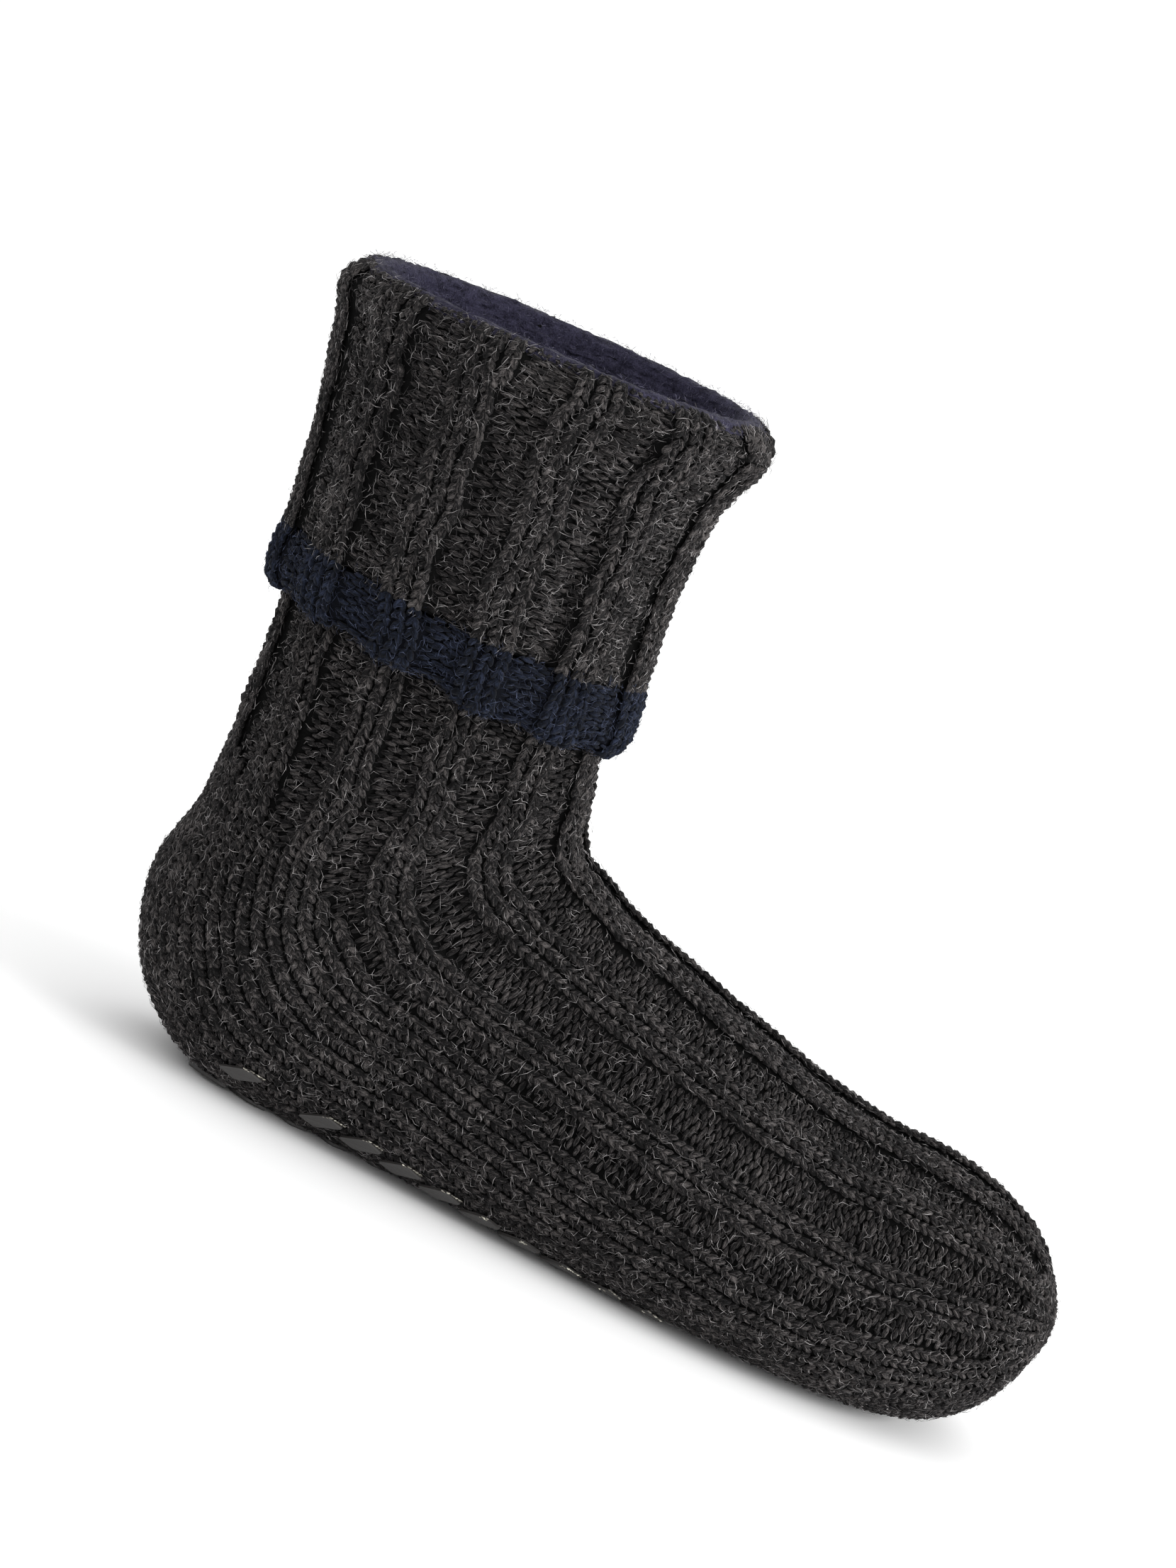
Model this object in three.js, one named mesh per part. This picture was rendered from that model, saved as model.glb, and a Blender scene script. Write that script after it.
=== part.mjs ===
// A chunky slipper sock: one knitted upper with a turned cuff, a knitted edge band and rubber grips.
// Millimetres, +Z up, toe towards +X, either foot. It stands empty on the grips under its sole.
import * as THREE from "three";

// Driving sizes of the foot
const footLength = 272;
const ballWidth = 104;
const heelWidth = 76;
const ballHeight = 66.3;
const instepHeight = 96.2;
const heelHeight = 42; // of the heel's rearmost point
const tipHeight = 36.9; // of the toe's foremost point
const solePress = 2.2; // the rounded sole is pressed flat by this much

// Driving sizes of the leg and its turned cuff
const shaftHeight = 122.2; // from the ankle's centre to where the rim turns over, at the back
const shaftLean = THREE.MathUtils.degToRad(6); // backwards from upright
const legDepth = 91.3;
const legWidth = 78;
const cuffDepth = 88.5; // down the front, from the rim to the lower edge
const bandHeight = 15.5; // of the navy edge band

// Thicknesses and clearances
const wall = 5.5; // knit and its fleece lining
const cuffWall = 4.5;
const cuffGap = 2; // between the cuff and the leg under it
const bandFullness = 1.2; // the band stands proud of the cuff by this much
const bandWave = 0.9; // rise and fall of the band's lower edge
const ribRelief = 1.1;
const seat = 0.3; // between pieces that touch

// Rubber grips
const gripThickness = 1;
const gripLong = 9.6; // edges of each parallelogram
const gripShort = 5.6;
const gripLongTurn = THREE.MathUtils.degToRad(36); // of the long edge from the foot's length
const gripShortTurn = THREE.MathUtils.degToRad(-14);
const gripPitch = 12.2; // along the foot
const gripRowSpacing = 17.4; // across the sole, measured round it
const gripStart = 39.5; // of the first grip's centre from the heel's back
const gripCorner = 0.12; // share of an edge that its rounded corner takes

const ribCount = 12;
const columns = 4 * ribCount;
const soleLift = gripThickness + seat;
const ankle = { x: 0.176 * footLength, z: 0.954 * instepHeight };
const cuffOut = cuffGap + cuffWall;

// Sections of the foot from the tip backwards. Each is a ring between a point on the top line and one on the
// bottom line. topX and lowX are shares of the length, top and low of the heights there, width of the width
// there; toHeel runs from the ball's width and height to the heel's and instep's; widest is the share of the
// ring's height at its widest; crown and floor are how square its upper and lower halves are; ribbed is the
// share of the half ring, from the top line, that is ribbed.
const footRows = [
  { topX: 1, lowX: 1, top: 0, low: 1, width: 0, toHeel: 0,
    widest: 0.5, crown: 2, floor: 2, ribbed: 0 },
  { topX: 0.9985, lowX: 0.9988, top: 0.13, low: 0.9, width: 0.15, toHeel: 0,
    widest: 0.49, crown: 2, floor: 2, ribbed: 0 },
  { topX: 0.991, lowX: 0.993, top: 0.29, low: 0.76, width: 0.29, toHeel: 0,
    widest: 0.47, crown: 2.05, floor: 2.1, ribbed: 0 },
  { topX: 0.974, lowX: 0.9825, top: 0.49, low: 0.54, width: 0.44, toHeel: 0,
    widest: 0.44, crown: 2.1, floor: 2.2, ribbed: 0 },
  { topX: 0.9445, lowX: 0.964, top: 0.69, low: 0.32, width: 0.61, toHeel: 0,
    widest: 0.42, crown: 2.15, floor: 2.3, ribbed: 0.45 },
  { topX: 0.902, lowX: 0.9255, top: 0.86, low: 0.125, width: 0.765, toHeel: 0,
    widest: 0.4, crown: 2.15, floor: 2.5, ribbed: 0.5 },
  { topX: 0.847, lowX: 0.867, top: 0.965, low: 0.02, width: 0.88, toHeel: 0,
    widest: 0.38, crown: 2.1, floor: 2.7, ribbed: 0.52 },
  { topX: 0.774, lowX: 0.785, top: 1, low: 0, width: 0.965, toHeel: 0,
    widest: 0.36, crown: 2.05, floor: 2.9, ribbed: 0.52 },
  { topX: 0.695, lowX: 0.6985, top: 1.01, low: 0, width: 1, toHeel: 0.07,
    widest: 0.34, crown: 2, floor: 3, ribbed: 0.52 },
  { topX: 0.61, lowX: 0.599, top: 1.06, low: 0, width: 1.003, toHeel: 0.22,
    widest: 0.33, crown: 1.95, floor: 3, ribbed: 0.51 },
  { topX: 0.526, lowX: 0.493, top: 1.01, low: 0, width: 0.985, toHeel: 0.46,
    widest: 0.32, crown: 2.05, floor: 3, ribbed: 0.5 },
  { topX: 0.452, lowX: 0.39, top: 0.976, low: 0, width: 0.972, toHeel: 0.7,
    widest: 0.33, crown: 2.15, floor: 3, ribbed: 0.49 },
  { topX: 0.404, lowX: 0.287, top: 0.985, low: 0, width: 0.985, toHeel: 0.9,
    widest: 0.36, crown: 2.25, floor: 2.9, ribbed: 0.47 },
  { topX: 0.3845, lowX: 0.191, top: 1, low: 0, width: 1, toHeel: 1,
    widest: 0.39, crown: 2.3, floor: 2.8, ribbed: 0.47 },
];

// The heel's turn: rings from the front of the ankle to the back of the heel. frontUp is a share of the
// shaft's height and frontOut of the leg's depth, from the ankle's centre; backX is a share of the length,
// backZ of the heel's height.
const heelRows = [
  { frontUp: 0.019, frontOut: 0.596, backX: 0.103, backZ: 0.036, width: 1.01,
    widest: 0.42, crown: 2.3, floor: 2.7, ribbed: 0.48 },
  { frontUp: 0.05, frontOut: 0.578, backX: 0.033, backZ: 0.417, width: 1.025,
    widest: 0.44, crown: 2.3, floor: 2.4, ribbed: 0.5 },
  { frontUp: 0.082, frontOut: 0.567, backX: 0.0044, backZ: 1, width: 1.035,
    widest: 0.46, crown: 2.25, floor: 2.2, ribbed: 0.58 },
  { frontUp: 0.115, frontOut: 0.56, backX: 0.017, backZ: 1.571, width: 1.045,
    widest: 0.48, crown: 2.2, floor: 2.15, ribbed: 0.72 },
];

// The shaft's rings, in its own leaning frame: frontUp and backUp are shares of its height, frontOut and
// backOut of the leg's depth, width of the leg's width.
const shaftRows = [
  { frontUp: 0.151, frontOut: 0.551, backUp: -0.002, backOut: 0.476, width: 1.015, ribbed: 0.9 },
  { frontUp: 0.189, frontOut: 0.543, backUp: 0.162, backOut: 0.463, width: 1, ribbed: 1.1 },
  { frontUp: 0.229, frontOut: 0.536, backUp: 0.327, backOut: 0.461, width: 1.01, ribbed: 1.1 },
  { frontUp: 0.352, frontOut: 0.526, backUp: 0.446, backOut: 0.459, width: 1.036, ribbed: 1.1 },
  { frontUp: 0.524, frontOut: 0.517, backUp: 0.589, backOut: 0.462, width: 1.05, ribbed: 1.1 },
  { frontUp: 0.671, frontOut: 0.526, backUp: 0.736, backOut: 0.474, width: 1.07, ribbed: 1.1 },
  { frontUp: 0.81, frontOut: 0.556, backUp: 0.876, backOut: 0.502, width: 1.113, ribbed: 1.1 },
  { frontUp: 0.9, frontOut: 0.607, backUp: 0.957, backOut: 0.523, width: 1.155, ribbed: 1.1 },
  { frontUp: 0.952, frontOut: 0.642, backUp: 1, backOut: 0.54, width: 1.19, ribbed: 1.1 },
];

const { lerp, clamp, smoothstep } = THREE.MathUtils;

function footStation(row) {
  const width = lerp(ballWidth, heelWidth, row.toHeel);
  const height = lerp(ballHeight, instepHeight, row.toHeel);
  const topZ = tipHeight + (height - tipHeight) * row.top;
  const press = solePress * (1 - row.low);
  return {
    ...row,
    top: [row.topX * footLength, topZ],
    low: [row.lowX * footLength, tipHeight * row.low - press],
    half: (row.width * width) / 2,
  };
}

// A point of the leaning shaft, up along its axis and out in front of it
function onShaft(up, out) {
  return [
    ankle.x - up * Math.sin(shaftLean) + out * Math.cos(shaftLean),
    ankle.z + up * Math.cos(shaftLean) + out * Math.sin(shaftLean),
  ];
}

function heelStation(row) {
  return {
    ...row,
    top: onShaft(row.frontUp * shaftHeight, row.frontOut * legDepth),
    low: [row.backX * footLength, row.backZ * heelHeight],
    half: (row.width * heelWidth) / 2,
  };
}

function shaftStation(row) {
  return {
    ...row,
    top: onShaft(row.frontUp * shaftHeight, row.frontOut * legDepth),
    low: onShaft(row.backUp * shaftHeight, -row.backOut * legDepth),
    half: (row.width * legWidth) / 2,
    widest: 0.49,
    crown: 2.1,
    floor: 2.1,
  };
}

const stations = [
  ...footRows.map(footStation),
  ...heelRows.map(heelStation),
  ...shaftRows.map(shaftStation),
];
const rim = stations.length - 1;

// A value read between stations, on a smooth curve through its neighbours
function between(read, s) {
  const i = clamp(Math.floor(s), 0, rim - 1);
  const t = s - i;
  const [a, b, c, d] = [i - 1, i, i + 1, i + 2].map((k) => read(stations[clamp(k, 0, rim)]));
  const before = i === 0 ? 2 * b - c : a;
  const after = i === rim - 1 ? 2 * c - b : d;
  const bend = 2 * before - 5 * b + 4 * c - after;
  const twist = 3 * b - before - 3 * c + after;
  return b + 0.5 * t * (c - before + t * (bend + t * twist));
}

// One half of a ring as points at equal steps round it, from the top line to the bottom line
const ringSteps = 90;
const rings = new Map();
function ringAt(s) {
  if (rings.has(s)) return rings.get(s);
  const read = (name) => between((row) => row[name], s);
  const [topX, topZ, lowX, lowZ] = [
    between((row) => row.top[0], s),
    between((row) => row.top[1], s),
    between((row) => row.low[0], s),
    between((row) => row.low[1], s),
  ];
  const [half, widest, crown, floor] = ["half", "widest", "crown", "floor"].map(read);
  const points = [];
  const reach = [0];
  for (let i = 0; i <= ringSteps; i++) {
    const turn = (Math.PI * i) / ringSteps;
    const upper = turn < Math.PI / 2;
    const power = 2 / (upper ? crown : floor);
    const rise = Math.abs(Math.cos(turn)) ** power;
    const side = Math.sin(turn) ** power;
    const share = upper ? widest + rise * (1 - widest) : widest * (1 - rise);
    const z = Math.max(0, lerp(lowZ, topZ, share));
    points.push(new THREE.Vector3(lerp(lowX, topX, share), half * side, z + soleLift));
    if (i > 0) reach.push(reach[i - 1] + points[i].distanceTo(points[i - 1]));
  }
  rings.set(s, { points, reach });
  return rings.get(s);
}

// The smooth outside of foot and leg: s runs from the tip to the rim, q from the top line (0) down the left
// side to the bottom line (1) and up the right side again (2)
function skin(s, q) {
  const { points, reach } = ringAt(s);
  const turn = ((q % 2) + 2) % 2;
  const goal = (turn > 1 ? 2 - turn : turn) * reach[ringSteps];
  let i = 1;
  while (i < ringSteps && reach[i] < goal) i++;
  const span = reach[i] - reach[i - 1] || 1;
  const point = points[i - 1].clone().lerp(points[i], clamp((goal - reach[i - 1]) / span, 0, 1));
  if (turn > 1) point.y = -point.y;
  return point;
}

function outward(s, q) {
  if (s < 0.05) return new THREE.Vector3(1, 0, 0);
  const [ds, dq] = [0.04, 0.02];
  const along = skin(Math.min(s + ds, rim), q).sub(skin(s - ds, q));
  const round = skin(s, q + dq).sub(skin(s, q - dq));
  return round.cross(along).normalize();
}

// A point that lies proud of the smooth outside
function proud(s, q, height) {
  return skin(s, q).addScaledVector(outward(s, q), height);
}

// The ribs stand out on the leg and the top of the foot and fade into the plain heel and sole
function ribs(s, q) {
  const fromTop = q > 1 ? 2 - q : q;
  const ribbed = between((row) => row.ribbed, s);
  const fade = 1 - smoothstep(fromTop, ribbed - 0.06, ribbed + 0.06);
  return -ribRelief * fade * Math.cos(Math.PI * ribCount * q);
}

// The station where the rim lies a given distance away, measured down the front of the leg
function stationBelowRim(distance) {
  let s = rim;
  let gone = 0;
  const step = 0.02;
  while (gone < distance && s > step) {
    gone += skin(s, 0).distanceTo(skin(s - step, 0));
    s -= step;
  }
  return s;
}

// A closed surface through rings of equal count, capped at a point or joined round to its first ring
function surface(ringList, { startPole, endPole }) {
  const count = ringList[0].length;
  const points = ringList.flat();
  const faces = [];
  const at = (ring, column) => (ring % ringList.length) * count + (column % count);
  const bands = startPole ? ringList.length - 1 : ringList.length;
  for (let ring = 0; ring < bands; ring++)
    for (let column = 0; column < count; column++) {
      const [a, b] = [at(ring, column), at(ring, column + 1)];
      const [c, d] = [at(ring + 1, column + 1), at(ring + 1, column)];
      faces.push(a, b, c, a, c, d);
    }
  if (startPole) {
    const [first, last] = [points.length, points.length + 1];
    points.push(startPole, endPole);
    for (let column = 0; column < count; column++) {
      faces.push(first, at(0, column + 1), at(0, column));
      faces.push(last, at(ringList.length - 1, column), at(ringList.length - 1, column + 1));
    }
  }
  const geometry = new THREE.BufferGeometry().setFromPoints(points).setIndex(faces);
  geometry.computeVertexNormals();
  return geometry;
}

const columnList = Array.from({ length: columns }, (_, i) => (2 * i) / columns);
const ring = (s, height) => columnList.map((q) => proud(s, q, height(s, q)));
const steps = (from, to, count) =>
  Array.from({ length: count + 1 }, (_, i) => lerp(from, to, i / count));

const cuffEdge = stationBelowRim(cuffDepth);
const bandTop = stationBelowRim(cuffDepth - bandHeight);
const slotTop = stationBelowRim(wall);
const edgeRound = 0.05; // of a station, by which the cuff's lower edge bulges

// The rim turns over in a half circle across leg wall, gap and cuff wall
function rimFold(turn) {
  const radius = (cuffOut + wall) / 2;
  const up = new THREE.Vector3(-Math.sin(shaftLean), 0, Math.cos(shaftLean));
  return columnList.map((q) => {
    const flatter = 1 - Math.sin(turn);
    const height = cuffOut - radius * (1 - Math.cos(turn)) + flatter * 0.5 * ribs(rim, q);
    return proud(rim, q, height).addScaledVector(up, radius * Math.sin(turn));
  });
}

// One knitted wall: outside of foot and leg, up into the slot under the cuff, down the cuff's inner face,
// up its outer face, over the rim and down the inside to the toe
function knittedUpper() {
  const footRings = [1, 2, 3, ...steps(3.5, 17, 24)].map((s) => ring(s, ribs));
  const legRings = steps(17.5, slotTop, 9).map((s) => ring(s, ribs));
  const slotRings = steps(slotTop, bandTop, 6).map((s) => ring(s, () => cuffGap));
  const edgeRing = ring(bandTop - edgeRound, () => cuffGap + cuffWall / 2);
  const cuffRings = steps(bandTop, rim, 11).map((s) => ring(s, (...at) => cuffOut + ribs(...at)));
  const foldRings = steps(Math.PI / 6, (5 * Math.PI) / 6, 4).map(rimFold);
  const innerStations = [...steps(rim, 14, 8), ...steps(13.2, 2, 14), 1.2];
  const innerRings = innerStations.map((s) => ring(s, () => -wall));
  const all = [footRings, legRings, slotRings, [edgeRing], cuffRings, foldRings, innerRings].flat();
  const tip = skin(0, 0);
  return surface(all, { startPole: tip, endPole: tip.clone().add(new THREE.Vector3(-wall, 0, 0)) });
}

// The band hangs from the cuff's lower edge, a little fuller than the cuff, with a softly waving edge
const bandSection = [
  { share: 0.5, out: 0 },
  { share: 0.1, out: 0.1, waves: 1 },
  { share: 0, out: 0.5, waves: 1 },
  { share: 0.08, out: 0.85, fullness: 0.8, waves: 1 },
  { share: 0.35, out: 1, fullness: 1 },
  { share: 0.8, out: 1, fullness: 0.8 },
  { share: 1, out: 0.85 },
  { share: 1, out: 0.15 },
];
function edgeBand() {
  const perStation = bandHeight / (bandTop - cuffEdge);
  const top = bandTop - edgeRound - (2 * seat) / perStation;
  const list = bandSection.map(({ share, out, fullness = 0, waves = 0 }) =>
    columnList.map((q) => {
      const wave = waves * bandWave * Math.cos(Math.PI * ribCount * q);
      const s = lerp(cuffEdge, top, share) + wave / perStation;
      const relief = out >= 0.85 ? ribs(s, q) : 0;
      return proud(s, q, cuffGap + cuffWall * out + bandFullness * fullness + relief);
    }),
  );
  return surface(list, {});
}

// A point of the sole, by its distance from the heel's back and its distance round from the centre line
function solePlace(x, round) {
  let s = 8;
  for (let pass = 0; pass < 12; pass++) {
    const { reach } = ringAt(s);
    const q = 1 + round / reach[ringSteps];
    const slope = (skin(s + 0.05, q).x - skin(s - 0.05, q).x) / 0.1;
    s = clamp(s + (x - skin(s, q).x) / slope, 2, 16);
  }
  return { s, q: 1 + round / ringAt(s).reach[ringSteps] };
}

// The outline of a grip about its centre, with its corners cut off, seen from inside the sock
function gripOutline() {
  const long = new THREE.Vector2(Math.cos(gripLongTurn), Math.sin(gripLongTurn)).multiplyScalar(gripLong);
  const short = new THREE.Vector2(Math.cos(gripShortTurn), Math.sin(gripShortTurn)).multiplyScalar(gripShort);
  const corners = [
    [-0.5, -0.5],
    [0.5, -0.5],
    [0.5, 0.5],
    [-0.5, 0.5],
  ];
  const places = corners.map(([a, b]) => long.clone().multiplyScalar(a).addScaledVector(short, b));
  const cut = places.flatMap((corner, i) => [
    corner.clone().lerp(places[(i + 3) % 4], gripCorner),
    corner.clone().lerp(places[(i + 1) % 4], gripCorner),
  ]);
  return cut.reverse();
}

function grip(x, round) {
  const outline = gripOutline();
  const lay = (share, height) =>
    outline.map((p) => {
      const place = solePlace(x + p.x * share, round + p.y * share);
      return proud(place.s, place.q, height);
    });
  const centre = solePlace(x, round);
  const [inner, outer] = [seat, seat + gripThickness];
  const list = [lay(1, inner), lay(1, lerp(inner, outer, 0.7)), lay(0.9, outer)];
  return surface(list, {
    startPole: proud(centre.s, centre.q, inner),
    endPole: proud(centre.s, centre.q, outer),
  });
}

// Rows of grips: the centre row and, on each side, an inner row half a pitch behind it and an outer one.
// All slant the same way. The outer rows skip one grip where the heel turns into the arch.
const gripRows = [
  { name: "centre", round: 0, shift: 0.5, count: 12 },
  { name: "inner", round: 1, shift: 0, count: 12 },
  { name: "outer", round: 2, shift: 0.7, count: 11, missing: 1 },
];
function grips() {
  const group = new THREE.Group();
  const rubber = new THREE.MeshStandardMaterial({ color: 0x3a3a3b, roughness: 0.45, metalness: 0 });
  for (const row of gripRows)
    for (const side of row.round ? [-1, 1] : [1])
      for (let i = 0; i < row.count; i++) {
        if (i === row.missing) continue;
        const x = gripStart + (i + row.shift) * gripPitch;
        const place = row.round * gripRowSpacing * side;
        const mesh = new THREE.Mesh(grip(x, place), rubber);
        const sideName = row.round ? (side > 0 ? "_right" : "_left") : "";
        mesh.name = "grip_" + row.name + sideName + "_" + String(i + 1).padStart(2, "0");
        group.add(mesh);
      }
  return group;
}

const knit = new THREE.MeshStandardMaterial({ color: 0x3a3938, roughness: 0.95, metalness: 0 });
const navyKnit = new THREE.MeshStandardMaterial({ color: 0x20263a, roughness: 0.95, metalness: 0 });

const upper = new THREE.Mesh(knittedUpper(), knit);
upper.name = "knit_upper";
const band = new THREE.Mesh(edgeBand(), navyKnit);
band.name = "cuff_edge_band";

const sock = new THREE.Group();
sock.add(upper, band, grips());

// The origin is the middle of the footprint, on the floor
const box = new THREE.Box3().setFromObject(sock, true);
sock.position.set(-(box.min.x + box.max.x) / 2, -(box.min.y + box.max.y) / 2, -box.min.z);

export default sock;
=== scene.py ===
import math

import bmesh
import bpy
import numpy as np
from mathutils import Matrix, Vector


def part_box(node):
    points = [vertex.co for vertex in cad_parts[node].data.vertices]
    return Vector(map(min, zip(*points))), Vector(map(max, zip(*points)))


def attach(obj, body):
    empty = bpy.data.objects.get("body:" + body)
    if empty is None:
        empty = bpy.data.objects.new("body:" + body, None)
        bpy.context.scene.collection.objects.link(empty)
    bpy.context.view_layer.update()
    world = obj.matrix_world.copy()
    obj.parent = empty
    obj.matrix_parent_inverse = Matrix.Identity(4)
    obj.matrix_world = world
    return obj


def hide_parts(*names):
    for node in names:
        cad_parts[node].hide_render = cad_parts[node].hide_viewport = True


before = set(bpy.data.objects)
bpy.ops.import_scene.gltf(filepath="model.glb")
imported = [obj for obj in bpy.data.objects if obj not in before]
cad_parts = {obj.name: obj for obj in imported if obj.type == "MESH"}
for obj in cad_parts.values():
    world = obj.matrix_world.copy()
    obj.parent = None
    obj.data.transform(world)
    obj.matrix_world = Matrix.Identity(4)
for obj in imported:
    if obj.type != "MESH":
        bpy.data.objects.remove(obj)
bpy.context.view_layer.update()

# sizes of the sock in millimetres, as the frame has them
sockForm = {
    "footLength": 272.0,
    "ballWidth": 104.0,
    "heelWidth": 76.0,
    "ballHeight": 66.3,
    "instepHeight": 96.2,
    "heelHeight": 42.0,
    "tipHeight": 36.9,
    "solePress": 2.2,
    "soleLift": 1.3,
    "shaftHeight": 122.2,
    "shaftLean": math.radians(6),
    "legDepth": 91.3,
    "legWidth": 78.0,
    "cuffDepth": 88.5,
    "bandHeight": 15.5,
    "bandFullness": 1.2,
    "wall": 5.5,
    "cuffWall": 4.5,
    "cuffGap": 2.0,
    "firstGrip": 45.6,
    "soleSunk": 0.75,
    "liningInside": 2.2,
}
sockForm["ankleX"] = 0.176 * sockForm["footLength"]
sockForm["ankleZ"] = 0.954 * sockForm["instepHeight"]
sockForm["cuffOut"] = sockForm["cuffGap"] + sockForm["cuffWall"]

# the knit: gauge, ribs and how far its bands stand out, in millimetres
knit = {
    "wales": 72,
    "perWale": 4,
    "perRib": 6,
    "ribStart": 2,
    "ribSteep": 1.7,
    "purlBelow": -0.2,
    "course": 2.45,
    "relief": 1.6,
    "cuffRelief": 1.15,
    "under": 1.05,
    "drift": 0.0055,
}
columns = knit["wales"] * knit["perWale"]
toMetres = 0.001
toMillimetres = 1000
rng = np.random.default_rng(11)

# topX, lowX, top, low, width, toHeel, widest, crown, floor, ribbed
footRows = [
    (1.0, 1.0, 0.0, 1.0, 0.0, 0.0, 0.5, 2.0, 2.0, 0.0),
    (0.9985, 0.9988, 0.13, 0.9, 0.15, 0.0, 0.49, 2.0, 2.0, 0.0),
    (0.991, 0.993, 0.29, 0.76, 0.29, 0.0, 0.47, 2.05, 2.1, 0.0),
    (0.974, 0.9825, 0.49, 0.54, 0.44, 0.0, 0.44, 2.1, 2.2, 0.0),
    (0.9445, 0.964, 0.69, 0.32, 0.61, 0.0, 0.42, 2.15, 2.3, 0.45),
    (0.902, 0.9255, 0.86, 0.125, 0.765, 0.0, 0.4, 2.15, 2.5, 0.5),
    (0.847, 0.867, 0.965, 0.02, 0.88, 0.0, 0.38, 2.1, 2.7, 0.52),
    (0.774, 0.785, 1.0, 0.0, 0.965, 0.0, 0.36, 2.05, 2.9, 0.52),
    (0.695, 0.6985, 1.01, 0.0, 1.0, 0.07, 0.34, 2.0, 3.0, 0.52),
    (0.61, 0.599, 1.06, 0.0, 1.003, 0.22, 0.33, 1.95, 3.0, 0.51),
    (0.526, 0.493, 1.01, 0.0, 0.985, 0.46, 0.32, 2.05, 3.0, 0.5),
    (0.452, 0.39, 0.976, 0.0, 0.972, 0.7, 0.33, 2.15, 3.0, 0.49),
    (0.404, 0.287, 0.985, 0.0, 0.985, 0.9, 0.36, 2.25, 2.9, 0.47),
    (0.3845, 0.191, 1.0, 0.0, 1.0, 1.0, 0.39, 2.3, 2.8, 0.47),
]
# frontUp, frontOut, backX, backZ, width, widest, crown, floor, ribbed
heelRows = [
    (0.019, 0.596, 0.103, 0.036, 1.01, 0.42, 2.3, 2.7, 0.48),
    (0.05, 0.578, 0.033, 0.417, 1.025, 0.44, 2.3, 2.4, 0.5),
    (0.082, 0.567, 0.0044, 1.0, 1.035, 0.46, 2.25, 2.2, 0.58),
    (0.115, 0.56, 0.017, 1.571, 1.045, 0.48, 2.2, 2.15, 0.72),
]
# frontUp, frontOut, backUp, backOut, width, ribbed
shaftRows = [
    (0.151, 0.551, -0.002, 0.476, 1.015, 0.9),
    (0.189, 0.543, 0.162, 0.463, 1.0, 1.1),
    (0.229, 0.536, 0.327, 0.461, 1.01, 1.1),
    (0.352, 0.526, 0.446, 0.459, 1.036, 1.1),
    (0.524, 0.517, 0.589, 0.462, 1.05, 1.1),
    (0.671, 0.526, 0.736, 0.474, 1.07, 1.1),
    (0.81, 0.556, 0.876, 0.502, 1.113, 1.1),
    (0.9, 0.607, 0.957, 0.523, 1.155, 1.1),
    (0.952, 0.642, 1.0, 0.54, 1.19, 1.1),
]


def mix(a, b, share):
    return a + (b - a) * share


def softStep(value, low, high):
    t = np.clip((value - low) / (high - low), 0, 1)
    return t * t * (3 - 2 * t)


def onShaft(up, out):
    lean = sockForm["shaftLean"]
    return (
        sockForm["ankleX"] - up * math.sin(lean) + out * math.cos(lean),
        sockForm["ankleZ"] + up * math.cos(lean) + out * math.sin(lean),
    )


def makeStations():
    form = sockForm
    rows = []
    for topX, lowX, top, low, width, toHeel, widest, crown, floor, ribbed in footRows:
        height = mix(form["ballHeight"], form["instepHeight"], toHeel)
        topZ = form["tipHeight"] + (height - form["tipHeight"]) * top
        lowZ = form["tipHeight"] * low - form["solePress"] * (1 - low)
        half = width * mix(form["ballWidth"], form["heelWidth"], toHeel) / 2
        ends = (topX * form["footLength"], topZ, lowX * form["footLength"], lowZ)
        rows.append((*ends, half, widest, crown, floor, ribbed))
    for up, out, backX, backZ, width, widest, crown, floor, ribbed in heelRows:
        top = onShaft(up * form["shaftHeight"], out * form["legDepth"])
        back = (backX * form["footLength"], backZ * form["heelHeight"])
        rows.append((*top, *back, width * form["heelWidth"] / 2, widest, crown, floor, ribbed))
    for up, out, backUp, backOut, width, ribbed in shaftRows:
        top = onShaft(up * form["shaftHeight"], out * form["legDepth"])
        back = onShaft(backUp * form["shaftHeight"], -backOut * form["legDepth"])
        rows.append((*top, *back, width * form["legWidth"] / 2, 0.49, 2.1, 2.1, ribbed))
    names = ("topX", "topZ", "lowX", "lowZ", "half", "widest", "crown", "floor", "ribbed")
    return dict(zip(names, np.array(rows).T))


stations = makeStations()
rim = len(stations["topX"]) - 1


def readAt(name, s):
    values = stations[name]
    s = np.asarray(s, float)
    i = np.clip(np.floor(s).astype(int), 0, rim - 1)
    t = s - i
    b, c = values[i], values[i + 1]
    before = np.where(i == 0, 2 * b - c, values[np.maximum(i - 1, 0)])
    after = np.where(i == rim - 1, 2 * c - b, values[np.minimum(i + 2, rim)])
    bend = 2 * before - 5 * b + 4 * c - after
    twist = 3 * b - before - 3 * c + after
    return b + 0.5 * t * (c - before + t * (bend + t * twist))


def drift(s, q):
    # the wales wander a little from side to side, more on the stretched cuff
    size = knit["drift"] * softStep(s, 1, 5) * (0.4 + 0.6 * softStep(s, 17, 20))
    turn = math.pi * q
    wander = np.sin(2.1 * s + 2 * turn) + 0.7 * np.sin(3.7 * s - 3 * turn + 1)
    return size * (wander + 0.5 * np.sin(6.3 * s + 5 * turn))


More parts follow.
